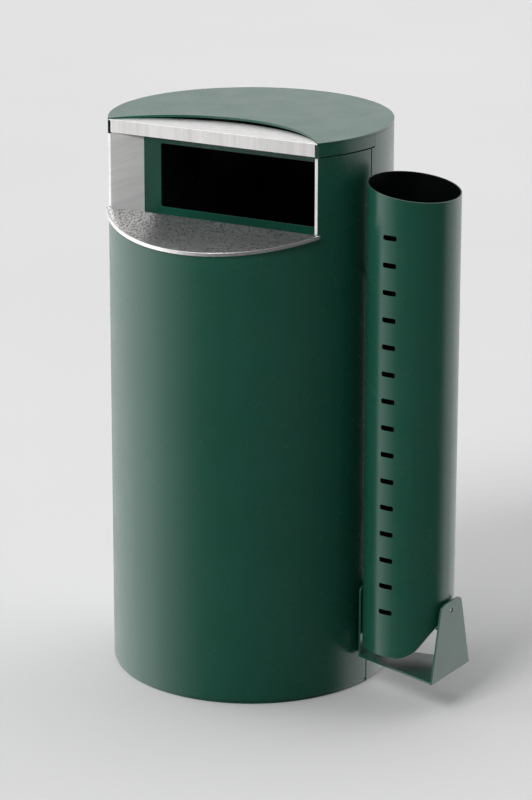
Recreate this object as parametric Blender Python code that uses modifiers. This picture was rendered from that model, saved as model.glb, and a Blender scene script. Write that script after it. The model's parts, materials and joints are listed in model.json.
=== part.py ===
"""Litter bin with a separate can tube.

Round sheet-steel body in two halves: a fixed rear shell and a front door that swings on the left.
The front is at -Y, the can tube stands on the right (+X), and the origin is on the ground at the body's axis.
Metres, +Z up.
"""

from math import acos, asin, cos, degrees, pi, radians, sin, sqrt, tan

import bmesh
import bpy
from mathutils import Matrix, Vector

# ---------------------------------------------------------------- driving dimensions
BIN_RADIUS = 0.250
BIN_HEIGHT = 1.000
SHEET = 0.002
GAP = 0.0003

# Azimuths are in degrees from the front (-Y) towards +X.
SEAM_AZIMUTH = 84.5
SEAM_HALF_GAP = 0.23
SKIRT_END_AZIMUTH = 87.0
CHORD_Y = -0.140

LID_THICKNESS = 0.004
SKIRT_BOTTOM = 0.9755
DOOR_TOP = 0.9735
DOOR_BOTTOM = 0.006
LID_CUT_CENTRE_Y = 2 * CHORD_Y

LIP_FRONT_TOP = 0.9985
LIP_SLOPE = -0.0636

SILL_RADIUS = 0.255
SILL_BACK_TOP = 0.8418
SILL_SLOPE = 0.238
SILL_THICKNESS = 0.003

CHEEK_OUTER_X = 0.2037
CHEEK_SHEET = 0.0015
CHEEK_FLANGE_X = 0.2072
CHEEK_BOTTOM = 0.800
CHEEK_TOP = 0.973
FRAME_Y = -0.028
FRAME_OPENING_X = 0.168
FRAME_OPENING_BOTTOM = 0.823
FRAME_OPENING_TOP = 0.938

BASE_RADIUS = 0.2430
BASE_THICKNESS = 0.004
BASE_RING_TOP = 0.030
ANCHOR_CIRCLE_RADIUS = 0.160
ANCHOR_HOLE_RADIUS = 0.006

HINGE_RADIUS = 0.008
HINGE_AXIS_RADIUS = BIN_RADIUS + HINGE_RADIUS + GAP
HINGE_PIN_RADIUS = 0.004
HINGE_BORE_RADIUS = 0.0043
HINGE_HEIGHTS = {"lower": 0.150, "upper": 0.780}
HINGE_BARREL = 0.040
HINGE_WASHER = 0.0015
LEAF_THICKNESS = 0.0025
LEAF_SWEEP = 8.0

LOCK_Y = -0.055
LOCK_Z = 0.890
LOCK_REST_TURN = 80.0
KEEPER_Y = 0.001
KEEPER_RADIUS = 0.004

BRACKET_TURN = -4.3
TUBE_A = 0.3435
TUBE_B = -0.0178
TUBE_RADIUS = 0.080
TUBE_MOUTH = 0.9213
MOUTH_SLOPE_A = -0.1377
MOUTH_SLOPE_B = 0.028
TUBE_BOTTOM = 0.099
TUBE_FLOOR = 0.164
FOOT_HEIGHT = 0.163
FOOT_ANGLE = 60.0
FOOT_ROUNDING = 0.045
SLOT_COUNT = 15
SLOT_FIRST = 0.181
SLOT_PITCH = 0.0477
SLOT_WIDTH = 0.026
SLOT_HEIGHT = 0.009
PIVOT_Z = 0.178
PIVOT_RADIUS = 0.0039
PIVOT_BORE = 0.0042

PLATE = 0.0035
STRAP_A = 0.2565
EAR_A = 0.4270
BRACKET_BOTTOM = 0.060
SADDLE_REAR_B = 0.035
BOLT_B = 0.020
BOLT_HEIGHTS = {"lower": 0.105, "upper": 0.150}
BOLT_RADIUS = 0.0039
BOLT_HOLE = 0.0043
CATCH_Z = 0.750
CATCH_B = 0.008
CATCH_RADIUS = 0.004

LINER_RADIUS = 0.200
LINER_BOTTOM = BASE_THICKNESS + GAP
LINER_TOP = 0.7043
LINER_WALL = 0.002
BAIL_RADIUS = 0.1965
BAIL_WIRE = 0.004
BAIL_Z = LINER_TOP + BAIL_WIRE + 2 * GAP

RING_STEP = 3.75
TUBE_STEP = 7.5
HOLE_STEP = 22.5

GREEN = (0.012, 0.048, 0.032)
STAINLESS = (0.62, 0.61, 0.60)
ZINC = (0.50, 0.52, 0.53)
BRASS = (0.72, 0.52, 0.22)
NYLON = (0.03, 0.03, 0.03)

# Local X, Y, Z of an outline become world Y, Z, X (ALONG_X) or X, Z, -Y (ALONG_Y).
ALONG_X = Matrix(((0, 0, 1, 0), (1, 0, 0, 0), (0, 1, 0, 0), (0, 0, 0, 1)))
ALONG_Y = Matrix(((1, 0, 0, 0), (0, 0, -1, 0), (0, 1, 0, 0), (0, 0, 0, 1)))
IDENTITY = Matrix.Identity(4)
BRACKET = Matrix.Rotation(radians(BRACKET_TURN), 4, "Z")


# ---------------------------------------------------------------- scene and helpers
def clear_scene():
    for obj in list(bpy.data.objects):
        bpy.data.objects.remove(obj, do_unlink=True)


def new_collection(name):
    collection = bpy.data.collections.new(name)
    bpy.context.scene.collection.children.link(collection)
    return collection


clear_scene()
PARTS = new_collection("litter_bin")
CUTTERS = new_collection("cutters")


def paint(obj, colour, roughness, metallic):
    material = bpy.data.materials.new(obj.name)
    material.use_nodes = True
    shader = material.node_tree.nodes["Principled BSDF"]
    shader.inputs["Base Color"].default_value = (*colour, 1.0)
    shader.inputs["Roughness"].default_value = roughness
    shader.inputs["Metallic"].default_value = metallic
    obj.data.materials.clear()
    obj.data.materials.append(material)


def painted_green(obj):
    paint(obj, GREEN, 0.35, 0.0)


def stainless(obj):
    paint(obj, STAINLESS, 0.3, 1.0)


def zinc_plated(obj):
    paint(obj, ZINC, 0.45, 1.0)


def empty(name, matrix):
    obj = bpy.data.objects.new(name, None)
    obj.empty_display_size = 0.05
    obj.matrix_basis = matrix
    PARTS.objects.link(obj)
    return obj


def hang(obj, pivot):
    """Parents obj to an empty without moving it."""
    obj.parent = pivot
    obj.matrix_parent_inverse = pivot.matrix_basis.inverted()


def new_object(name, mesh, matrix=IDENTITY, collection=None):
    obj = bpy.data.objects.new(name, mesh)
    (collection or PARTS).objects.link(obj)
    obj.matrix_basis = matrix
    return obj


def ring_point(radius, azimuth):
    angle = radians(azimuth)
    return (radius * sin(angle), -radius * cos(angle))


def ring_arc(radius, start, end, step=RING_STEP):
    """Points of an arc about the body's axis, from one azimuth to another."""
    count = max(1, round(abs(end - start) / step))
    return [ring_point(radius, start + (end - start) * i / count) for i in range(count + 1)]


def arc(centre, radius, start, end, step=HOLE_STEP):
    """Points of an arc in an outline's own plane, angles in degrees from local X."""
    count = max(1, round(abs(end - start) / step))
    turns = [radians(start + (end - start) * i / count) for i in range(count + 1)]
    return [(centre[0] + radius * cos(turn), centre[1] + radius * sin(turn)) for turn in turns]


def circle(centre, radius, step=HOLE_STEP):
    return arc(centre, radius, 0, 360, step)[:-1]


def rounded_box(x0, y0, x1, y1, corner, step=30):
    """Points of a rectangle with rounded corners."""
    return (
        arc((x1 - corner, y1 - corner), corner, 0, 90, step)
        + arc((x0 + corner, y1 - corner), corner, 90, 180, step)
        + arc((x0 + corner, y0 + corner), corner, 180, 270, step)
        + arc((x1 - corner, y0 + corner), corner, 270, 360, step)
    )


def box_outline(x0, y0, x1, y1):
    return [(x0, y0), (x1, y0), (x1, y1), (x0, y1)]


def curve_object(name, dimensions):
    curve = bpy.data.curves.new(name, "CURVE")
    curve.dimensions = dimensions
    return new_object(name, curve)


def add_spline(curve, points, closed):
    spline = curve.splines.new("POLY")
    spline.points.add(len(points) - 1)
    for place, point in zip(spline.points, points):
        place.co = (*point, *(0.0,) * (3 - len(point)), 1.0)
    spline.use_cyclic_u = closed


def as_mesh(obj, offset=Vector((0, 0, 0))):
    """Turns a curve object into a welded mesh object of the same name."""
    name = obj.name
    graph = bpy.context.evaluated_depsgraph_get()
    mesh = bpy.data.meshes.new_from_object(obj.evaluated_get(graph))
    shape = bmesh.new()
    shape.from_mesh(mesh)
    bmesh.ops.remove_doubles(shape, verts=shape.verts, dist=0.000001)
    bmesh.ops.translate(shape, verts=shape.verts, vec=offset)
    bmesh.ops.recalc_face_normals(shape, faces=shape.faces)
    shape.to_mesh(mesh)
    shape.free()
    matrix = obj.matrix_basis.copy()
    bpy.data.objects.remove(obj, do_unlink=True)
    mesh.name = name
    return new_object(name, mesh, matrix)


def smooth(obj, angle=30):
    obj.data.shade_smooth()
    obj.data.set_sharp_from_angle(angle=radians(angle))
    return obj


def plate(name, loops, thickness, matrix=IDENTITY):
    """A flat outline, with any holes, made thick from its own plane along local +Z."""
    obj = curve_object(name, "2D")
    obj.data.fill_mode = "BOTH"
    obj.data.extrude = thickness / 2
    for points in loops:
        add_spline(obj.data, points, True)
    obj = as_mesh(obj, Vector((0, 0, thickness / 2)))
    obj.matrix_basis = matrix
    return smooth(obj)


def turned(name, profile, matrix=IDENTITY, closed=False, steps=16):
    """A profile of (radius, height) points, listed from the top down its outer side, turned about local Z."""
    mesh = bpy.data.meshes.new(name)
    count = len(profile)
    edges = [(i, i + 1) for i in range(count - 1)] + ([(count - 1, 0)] if closed else [])
    mesh.from_pydata([(radius, 0, height) for radius, height in profile], edges, [])
    obj = new_object(name, mesh, matrix)
    screw = obj.modifiers.new("turn", "SCREW")
    screw.steps = screw.render_steps = steps
    screw.use_merge_vertices = True
    screw.merge_threshold = 0.00001
    screw.use_smooth_shade = False
    return obj


def sloped(obj, slope_x, slope_y, about=(0, 0)):
    """Shears a piece so that its level faces take the slopes, at unchanged height over the point given."""
    shear = Matrix.Identity(4)
    shear[2][0] = slope_x
    shear[2][1] = slope_y
    shear[2][3] = -slope_x * about[0] - slope_y * about[1]
    obj.data.transform(shear)
    return obj


def boolean(obj, other, operation):
    other.hide_render = True
    other.display_type = "WIRE"
    if other.name not in CUTTERS.objects:
        CUTTERS.objects.link(other)
        PARTS.objects.unlink(other)
    modifier = obj.modifiers.new(other.name, "BOOLEAN")
    modifier.operation = operation
    modifier.solver = "EXACT"
    modifier.object = other


def cut(obj, *cutters):
    for cutter in cutters:
        boolean(obj, cutter, "DIFFERENCE")
    return obj


def join(obj, *others):
    for other in others:
        boolean(obj, other, "UNION")
    return obj


def raised(height, matrix=IDENTITY):
    return matrix @ Matrix.Translation((0, 0, height))


def at(x, y, z, turn=IDENTITY):
    return Matrix.Translation((x, y, z)) @ turn


def band(name, inner, outer, start, end, bottom, top):
    """A rolled sheet: part of a tube about the body's axis."""
    outline = ring_arc(outer, start, end) + ring_arc(inner, end, start)
    return plate(name, [outline], top - bottom, raised(bottom))


# ---------------------------------------------------------------- fixed body
def make_rear_shell():
    edge = SEAM_AZIMUTH + SEAM_HALF_GAP
    lid_under = BIN_HEIGHT - LID_THICKNESS - GAP
    shell = band("rear_shell", BIN_RADIUS - SHEET, BIN_RADIUS, edge, 360 - edge, 0.0, lid_under)
    for side, start in (("right", edge - 1), ("left", 360 - SKIRT_END_AZIMUTH)):
        end = start + SKIRT_END_AZIMUTH - edge + 1
        notch = band(f"shell_notch_{side}", 0.240, 0.260, start, end, DOOR_TOP, BIN_HEIGHT + 0.01)
        cut(shell, notch)
    for place, height in BOLT_HEIGHTS.items():
        hole = plate(f"shell_bolt_hole_{place}", [circle((BOLT_B, height), BOLT_HOLE)], 0.04,
                     BRACKET @ at(0.230, 0, 0, ALONG_X))
        cut(shell, hole)
    painted_green(shell)


def lens_front_arc(radius):
    """The arc that bounds the lid's front cut-out, from its left end to its right end."""
    half = degrees(asin(-CHORD_Y / radius))
    return arc((0, LID_CUT_CENTRE_Y), radius, 180 - half, half, RING_STEP)


def make_top_plate():
    chord_azimuth = degrees(acos(-CHORD_Y / BIN_RADIUS))
    rim = ring_arc(BIN_RADIUS, chord_azimuth, 360 - chord_azimuth)
    front = lens_front_arc(BIN_RADIUS)
    lid = plate("top_plate", [rim + front[1:-1]], LID_THICKNESS, raised(BIN_HEIGHT - LID_THICKNESS))
    painted_green(lid)


def make_skirts():
    start = degrees(acos(-CHORD_Y / BIN_RADIUS)) + 0.3
    top = BIN_HEIGHT - LID_THICKNESS - GAP
    for name, sign in (("skirt_left", -1), ("skirt_right", 1)):
        ends = sorted((sign * start, sign * SKIRT_END_AZIMUTH))
        skirt = band(name, BIN_RADIUS - SHEET, BIN_RADIUS, *ends, SKIRT_BOTTOM, top)
        painted_green(skirt)


def make_roof_lip():
    """Stainless sheet: a lens-shaped roof that falls to the back, with a turned-down front face."""
    radius = BIN_RADIUS - 0.0006
    front = CHORD_Y
    half = degrees(asin((front - LID_CUT_CENTRE_Y) / radius))
    outline = arc((0, LID_CUT_CENTRE_Y), radius, 180 - half, half, RING_STEP)
    roof = plate("roof_lip", [outline], SHEET)
    sloped(roof, 0, LIP_SLOPE, (0, front))
    roof.matrix_basis = raised(LIP_FRONT_TOP - SHEET)
    half_width = radius * cos(radians(half)) - 0.0045
    face = plate("roof_lip_face", [box_outline(-half_width, front, half_width, front + SHEET)],
                 LIP_FRONT_TOP - SKIRT_BOTTOM - 0.0008, raised(SKIRT_BOTTOM))
    join(roof, face)
    stainless(roof)


def make_roof_crossbar():
    y = CHORD_Y + SHEET + GAP
    bar = plate(
        "roof_crossbar", [box_outline(-0.190, y, 0.190, y + 0.004)], 0.016, raised(SKIRT_BOTTOM + 0.0005)
    )
    painted_green(bar)


def make_base():
    holes = [circle(ring_point(ANCHOR_CIRCLE_RADIUS, 45 + 90 * i), ANCHOR_HOLE_RADIUS) for i in range(4)]
    rim = ring_arc(BASE_RADIUS, 0, 360)[:-1]
    zinc_plated(plate("base_plate", [rim] + holes, BASE_THICKNESS))
    outer = ring_arc(BIN_RADIUS - SHEET - GAP, 0, 360)[:-1]
    inner = ring_arc(BASE_RADIUS + GAP + 0.0003, 0, 360)[:-1]
    painted_green(plate("base_ring", [outer, inner], BASE_RING_TOP))


def make_jambs():
    """Closing strips on the rear shell's inside, which the door's edges lie against."""
    outer = BIN_RADIUS - SHEET - GAP
    for name, sign in (("jamb_left", -1), ("jamb_right", 1)):
        ends = sorted((sign * 80.0, sign * 87.5))
        painted_green(band(name, outer - 0.003, outer, *ends, BASE_RING_TOP + 0.005, 0.960))


# ---------------------------------------------------------------- door hinges
def make_hinge_half(name, sign, bottom, top):
    """Barrel with a leaf that follows the shell; sign +1 runs onto the rear shell, -1 onto the door."""
    centre = ring_point(HINGE_AXIS_RADIUS, -SEAM_AZIMUTH)
    inner = BIN_RADIUS + GAP
    ends = sorted((-SEAM_AZIMUTH - sign * 0.3, -SEAM_AZIMUTH - sign * LEAF_SWEEP))
    leaf = ring_arc(inner + LEAF_THICKNESS, *ends) + ring_arc(inner, *reversed(ends))
    half = plate(name, [leaf], top - bottom - 0.002, raised(bottom + 0.001))
    barrel = plate(f"{name}_barrel", [circle(centre, HINGE_RADIUS, 20)], top - bottom, raised(bottom))
    bore = plate(
        f"{name}_bore", [circle(centre, HINGE_BORE_RADIUS, 20)], top - bottom + 0.02, raised(bottom - 0.01)
    )
    join(half, barrel)
    cut(half, bore)
    painted_green(half)
    return half


def make_hinges(door):
    x, y = ring_point(HINGE_AXIS_RADIUS, -SEAM_AZIMUTH)
    for place, middle in HINGE_HEIGHTS.items():
        make_hinge_half(f"hinge_body_{place}", 1, middle - HINGE_BARREL, middle - HINGE_WASHER / 2 - GAP)
        moving = make_hinge_half(
            f"hinge_door_{place}", -1, middle + HINGE_WASHER / 2 + GAP, middle + HINGE_BARREL
        )
        hang(moving, door)
        top = HINGE_BARREL + 0.0025
        bottom = -HINGE_BARREL + 0.002
        profile = [(0, top), (0.0052, top - 0.0006), (0.0052, HINGE_BARREL + GAP),
                   (HINGE_PIN_RADIUS, HINGE_BARREL + GAP),
                   (HINGE_PIN_RADIUS, bottom), (0, bottom)]
        pin = turned(f"hinge_pin_{place}", profile, at(x, y, middle))
        paint(pin, STAINLESS, 0.35, 1.0)
        ring = [circle((x, y), HINGE_RADIUS - 0.0005, 20), circle((x, y), HINGE_BORE_RADIUS, 20)]
        washer = plate(f"hinge_washer_{place}", ring, HINGE_WASHER, raised(middle - HINGE_WASHER / 2))
        paint(washer, BRASS, 0.4, 1.0)


# ---------------------------------------------------------------- door
def make_door_shell():
    edge = SEAM_AZIMUTH - SEAM_HALF_GAP
    shell = band("door_shell", BIN_RADIUS - SHEET, BIN_RADIUS, -edge, edge, DOOR_BOTTOM, DOOR_TOP)
    opening = plate("door_opening_cut", [box_outline(-0.30, -0.40, 0.30, CHORD_Y + 0.0018)], 0.30)
    sloped(opening, 0, SILL_SLOPE, (0, CHORD_Y))
    opening.matrix_basis = raised(SILL_BACK_TOP - SILL_THICKNESS - GAP)
    cut(shell, opening)
    painted_green(shell)
    return shell


def make_sill():
    """Stainless segment that falls to the front and stands 5 mm proud of the door."""
    back = CHORD_Y - GAP
    half = degrees(asin(sqrt(SILL_RADIUS ** 2 - back ** 2) / SILL_RADIUS))
    sill = plate("sill", [ring_arc(SILL_RADIUS, -half, half)], SILL_THICKNESS)
    sloped(sill, 0, SILL_SLOPE, (0, CHORD_Y))
    sill.matrix_basis = raised(SILL_BACK_TOP - SILL_THICKNESS)
    flange = plate("sill_flange", [box_outline(-0.195, back - SHEET, 0.195, back)], 0.0255,
                   raised(SILL_BACK_TOP - 0.0265))
    join(sill, flange)
    stainless(sill)
    return sill


def make_cheek(name, sign):
    """Stainless side wall of the opening with a narrow flange over the door shell's edge."""
    outer = sign * CHEEK_OUTER_X
    inner = sign * (CHEEK_OUTER_X - CHEEK_SHEET)
    x0, x1 = sorted((outer, inner))
    web = plate(
        name, [box_outline(x0, CHORD_Y, x1, FRAME_Y - GAP)], CHEEK_TOP - CHEEK_BOTTOM, raised(CHEEK_BOTTOM)
    )
    x0, x1 = sorted((inner + sign * 0.0005, sign * CHEEK_FLANGE_X))
    flange_bottom = SILL_BACK_TOP + 0.0007
    flange = plate(f"{name}_flange", [box_outline(x0, CHORD_Y, x1, CHORD_Y + CHEEK_SHEET)],
                   CHEEK_TOP - flange_bottom - 0.0003, raised(flange_bottom))
    join(web, flange)
    stainless(web)
    return web


def make_inner_frame():
    half = CHEEK_OUTER_X
    outer = box_outline(-half, 0.781, half, 0.970)
    hole = box_outline(-FRAME_OPENING_X, FRAME_OPENING_BOTTOM, FRAME_OPENING_X, FRAME_OPENING_TOP)
    frame = plate("inner_frame", [outer, hole], SHEET, at(0, FRAME_Y + SHEET, 0, ALONG_Y))
    painted_green(frame)
    return frame


def make_door_hem():
    """Stiffening band inside the door's lower edge."""
    outer = BIN_RADIUS - SHEET - GAP
    hem = band("door_hem", outer - 0.0025, outer, -78, 78, BASE_RING_TOP + 0.006, BASE_RING_TOP + 0.036)
    painted_green(hem)
    return hem


# ---------------------------------------------------------------- lock
def lock_profile_matrix():
    """Local Z runs along +X from the lock's key face."""
    return at(CHEEK_OUTER_X - CHEEK_SHEET, LOCK_Y, LOCK_Z, ALONG_X)


def make_lock(door, rotor):
    lock = lock_profile_matrix()
    barrel_radius = 0.0095
    body = turned("lock_barrel", [(barrel_radius, 0.0150), (barrel_radius, -GAP), (0.013, -GAP),
                                  (0.012, -0.0030),
                                  (0.0063, -0.0030), (0.0063, 0.0150)], lock, closed=True, steps=20)
    zinc_plated(body)
    hang(body, door)
    hexagon = circle((0, 0), 0.0145, 60)
    nut = plate(
        "lock_nut", [hexagon, circle((0, 0), barrel_radius + GAP)], 0.005, lock @ raised(CHEEK_SHEET + GAP)
    )
    zinc_plated(nut)
    hang(nut, door)
    plug_profile = [(0.0042, 0.0200), (0.0042, 0.0158), (0.0060, 0.0158), (0.0060, -0.0030),
                    (0.0052, -0.0036),
                    (0, -0.0036), (0, 0.0040), (0.0023, 0.0040), (0.0023, 0.0200)]
    plug = turned("lock_plug", plug_profile, lock, closed=True, steps=20)
    paint(plug, BRASS, 0.35, 1.0)
    hang(plug, rotor)
    make_hook_cam(rotor)
    screw_top = 0.0240
    profile = [(0, screw_top), (0.0050, screw_top - 0.0008), (0.0055, 0.0203), (0.0020, 0.0203),
               (0.0020, 0.0090),
               (0, 0.0090)]
    screw = turned("cam_screw", profile, lock)
    zinc_plated(screw)
    hang(screw, rotor)


def make_hook_cam(rotor):
    """Flat hook that drops over the keeper stud; its outline runs along the arm when the lock is closed."""
    reach = KEEPER_Y - LOCK_Y
    tip = reach + KEEPER_RADIUS + 0.001
    outline = (
        arc((0, 0), 0.0100, 90, 300, 30)
        + [(0.014, -0.004), (0.022, 0.0055), (tip, 0.0055), (tip, -0.006)]
        + [(tip + 0.003, -0.009), (tip + 0.009, -0.006), (tip + 0.009, 0.010), (tip + 0.003, 0.016),
           (0.012, 0.016)]
    )
    turn = Matrix.Rotation(radians(LOCK_REST_TURN), 4, "Z")
    matrix = lock_profile_matrix() @ raised(0.0163) @ turn
    cam = plate("hook_cam", [outline, circle((0, 0), 0.0045)], 0.003, matrix)
    zinc_plated(cam)
    hang(cam, rotor)


def make_keeper_stud():
    wall = BIN_RADIUS - SHEET - GAP
    profile = [(0, 0.2130), (0.0065, 0.2130), (0.0070, 0.2150), (KEEPER_RADIUS, 0.2158),
               (KEEPER_RADIUS, 0.2440),
               (0.0080, 0.2445), (0.0080, wall - 0.0002), (0, wall - 0.0002)]
    stud = turned("keeper_stud", profile[::-1], at(0, KEEPER_Y, LOCK_Z, ALONG_X))
    zinc_plated(stud)


# ---------------------------------------------------------------- can tube and its bracket
def make_tube(pivot):
    centre = (TUBE_A, TUBE_B)
    rings = [circle(centre, TUBE_RADIUS, TUBE_STEP), circle(centre, TUBE_RADIUS - SHEET, TUBE_STEP)]
    tube = plate("tube", rings, 0.90, BRACKET @ raised(TUBE_BOTTOM))
    around = box_outline(TUBE_A - 0.1, TUBE_B - 0.1, TUBE_A + 0.1, TUBE_B + 0.1)
    mouth = sloped(plate("tube_mouth_cut", [around], 0.2), MOUTH_SLOPE_A, MOUTH_SLOPE_B, centre)
    mouth.matrix_basis = BRACKET @ raised(TUBE_MOUTH)
    slope = tan(radians(FOOT_ANGLE))
    corner = TUBE_A + TUBE_RADIUS - (FOOT_HEIGHT - TUBE_BOTTOM) / slope
    start = corner - FOOT_ROUNDING * tan(radians(FOOT_ANGLE / 2))
    rise = arc((start, TUBE_BOTTOM + FOOT_ROUNDING), FOOT_ROUNDING, -90, FOOT_ANGLE - 90, 10)
    outer = TUBE_A + TUBE_RADIUS + 0.02
    foot = [(start, TUBE_BOTTOM - 0.05), *rise, (outer, FOOT_HEIGHT + 0.02 * slope), (outer, TUBE_BOTTOM - 0.05)]
    foot_cut = plate("tube_foot_cut", [foot], 0.3, BRACKET @ at(0, TUBE_B + 0.15, 0, ALONG_Y))
    loops = [
        rounded_box(
            TUBE_A - SLOT_WIDTH / 2, z - SLOT_HEIGHT / 2, TUBE_A + SLOT_WIDTH / 2, z + SLOT_HEIGHT / 2,
            0.0035
        )
        for z in (SLOT_FIRST + SLOT_PITCH * i for i in range(SLOT_COUNT))
    ]
    slots = plate("tube_slots_cut", loops, 0.06, BRACKET @ at(0, TUBE_B - 0.05, 0, ALONG_Y))
    bore = plate("tube_pivot_cut", [circle((TUBE_B, PIVOT_Z), PIVOT_BORE)], 0.2,
                 BRACKET @ at(TUBE_A - 0.1, 0, 0, ALONG_X))
    peg_hole = plate("tube_catch_cut", [circle((CATCH_B, CATCH_Z), CATCH_RADIUS + GAP)], 0.05,
                     BRACKET @ at(TUBE_A - 0.1, 0, 0, ALONG_X))
    cut(tube, mouth, foot_cut, slots, bore, peg_hole)
    painted_green(tube)
    hang(tube, pivot)
    drains = [
        circle((TUBE_A + 0.045 * cos(pi * i / 3), TUBE_B + 0.045 * sin(pi * i / 3)), 0.004, 45)
        for i in range(6)
    ]
    rim = circle(centre, TUBE_RADIUS - SHEET - GAP - 0.0002, TUBE_STEP)
    floor = plate("tube_floor", [rim] + drains, 0.003, BRACKET @ raised(TUBE_FLOOR))
    painted_green(floor)
    hang(floor, pivot)


def make_pivots(pivot):
    """Screws from inside the tube, each with a spacer washer, that turn in the bracket's two holes."""
    outer_face = TUBE_RADIUS
    for name, sign in (("inner", -1), ("outer", 1)):
        turn = ALONG_X if sign > 0 else ALONG_X @ Matrix.Rotation(pi, 4, "X")
        matrix = BRACKET @ at(TUBE_A, TUBE_B, PIVOT_Z, turn)
        profile = [(0, 0.0855), (PIVOT_RADIUS - 0.0006, 0.0855), (PIVOT_RADIUS, 0.0849),
                   (PIVOT_RADIUS, 0.0773),
                   (0.0068, 0.0773), (0.0068, 0.0755), (0.0055, 0.0743), (0, 0.0743)]
        screw = turned(f"pivot_screw_{name}", profile, matrix)
        zinc_plated(screw)
        hang(screw, pivot)
        rings = [circle((0, 0), 0.0085, 20), circle((0, 0), PIVOT_BORE + 0.0001)]
        washer = plate(f"pivot_washer_{name}", rings, 0.0029, matrix @ raised(outer_face + GAP))
        paint(washer, NYLON, 0.5, 0.0)
        hang(washer, pivot)


def make_catch(pivot):
    """Peg on the tube that a notched block on the rear shell holds upright."""
    collar = 0.0060
    wall_a = TUBE_A - sqrt(TUBE_RADIUS ** 2 - (CATCH_B - collar - TUBE_B) ** 2) - GAP
    tail = wall_a + 0.0100
    profile = [(0, tail), (CATCH_RADIUS, tail), (CATCH_RADIUS, wall_a), (collar, wall_a),
               (collar, wall_a - 0.0013), (CATCH_RADIUS, wall_a - 0.0013), (CATCH_RADIUS, 0.2558),
               (CATCH_RADIUS - 0.0008, 0.2550), (0, 0.2550)]
    stud = turned("catch_stud", profile, BRACKET @ at(0, CATCH_B, CATCH_Z, ALONG_X))
    zinc_plated(stud)
    hang(stud, pivot)
    wall = BIN_RADIUS + GAP
    foot = ring_arc(wall, 88.0, 93.5) + [(0.2620, 0.0135), (0.2620, -0.0060)]
    block = plate("catch_clip", [foot], 0.030, raised(CATCH_Z - 0.015))
    slot = plate("catch_slot_cut",
                 [rounded_box(-0.030, CATCH_Z - 0.0048, CATCH_B + 0.0048, CATCH_Z + 0.0048, 0.004)],
                 0.02, BRACKET @ at(0.2535, 0, 0, ALONG_X))
    cut(block, slot)
    paint(block, NYLON, 0.5, 0.0)


def make_bracket():
    """Bent sheet: inner strap, base that widens outwards, and outer ear."""
    strap_front = TUBE_B - 0.0236
    strap_top = 0.190
    strap_outline = (
        [(TUBE_B + 0.0236, BRACKET_BOTTOM), (TUBE_B + 0.0236, 0.074), (SADDLE_REAR_B - 0.002, 0.088)]
        + arc((SADDLE_REAR_B - 0.010, strap_top - 0.008), 0.008, 0, 90)
        + arc((strap_front + 0.009, strap_top - 0.009), 0.009, 90, 180)
        + [(strap_front, BRACKET_BOTTOM)]
    )
    strap_holes = [circle((BOLT_B, height), BOLT_HOLE) for height in BOLT_HEIGHTS.values()]
    pivot_hole = circle((TUBE_B, PIVOT_Z), PIVOT_BORE)
    bracket = plate(
        "tube_bracket", [strap_outline, pivot_hole] + strap_holes, PLATE,
        BRACKET @ at(STRAP_A, 0, 0, ALONG_X)
    )
    ear_out = EAR_A + PLATE
    base_outline = [
        (STRAP_A, TUBE_B - 0.0236), (ear_out, TUBE_B - 0.0648),
        (ear_out, TUBE_B + 0.0648), (STRAP_A, TUBE_B + 0.0236),
    ]
    base = plate("bracket_base", [base_outline], PLATE, BRACKET @ raised(BRACKET_BOTTOM))
    top_centre = 0.181
    ear_outline = (
        [(TUBE_B - 0.0648, BRACKET_BOTTOM), (TUBE_B + 0.0648, BRACKET_BOTTOM)]
        + arc((TUBE_B + 0.0220, top_centre), 0.014, 20, 90)
        + arc((TUBE_B - 0.0220, top_centre), 0.014, 90, 160)
    )
    ear = plate("bracket_ear", [ear_outline, pivot_hole], PLATE, BRACKET @ at(EAR_A, 0, 0, ALONG_X))
    join(bracket, base, ear)
    painted_green(bracket)


def make_saddle():
    """Spacer between the round body and the bracket's flat strap, behind the door seam."""
    inner = BIN_RADIUS + GAP
    outline_back = [
        (sqrt(inner ** 2 - b ** 2), b) for b in (-0.002 + (SADDLE_REAR_B + 0.002) * i / 6 for i in range(7))
    ]
    flat = STRAP_A - GAP
    outline = outline_back + [(flat, SADDLE_REAR_B), (flat, -0.002)]
    saddle = plate("tube_saddle", [outline], 0.092, BRACKET @ raised(0.084))
    for place, height in BOLT_HEIGHTS.items():
        hole = plate(f"saddle_hole_{place}", [circle((BOLT_B, height), BOLT_HOLE)], 0.04,
                     BRACKET @ at(0.235, 0, 0, ALONG_X))
        cut(saddle, hole)
    painted_green(saddle)


def make_bracket_fixings():
    head = STRAP_A + PLATE + GAP
    profile = [(0, head + 0.0022), (0.0045, head + 0.0022), (0.0070, head + 0.0006), (0.0070, head),
               (BOLT_RADIUS, head), (BOLT_RADIUS, 0.2340), (0, 0.2340)]
    for place, height in BOLT_HEIGHTS.items():
        bolt = turned(f"bracket_bolt_{place}", profile, BRACKET @ at(0, BOLT_B, height, ALONG_X))
        paint(bolt, STAINLESS, 0.35, 1.0)
        nut = plate(f"bracket_nut_{place}", [circle((0, 0), 0.0075, 60), circle((0, 0), BOLT_HOLE)], 0.0065,
                    BRACKET @ at(0.2392, BOLT_B, height, ALONG_X))
        paint(nut, STAINLESS, 0.35, 1.0)


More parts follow.
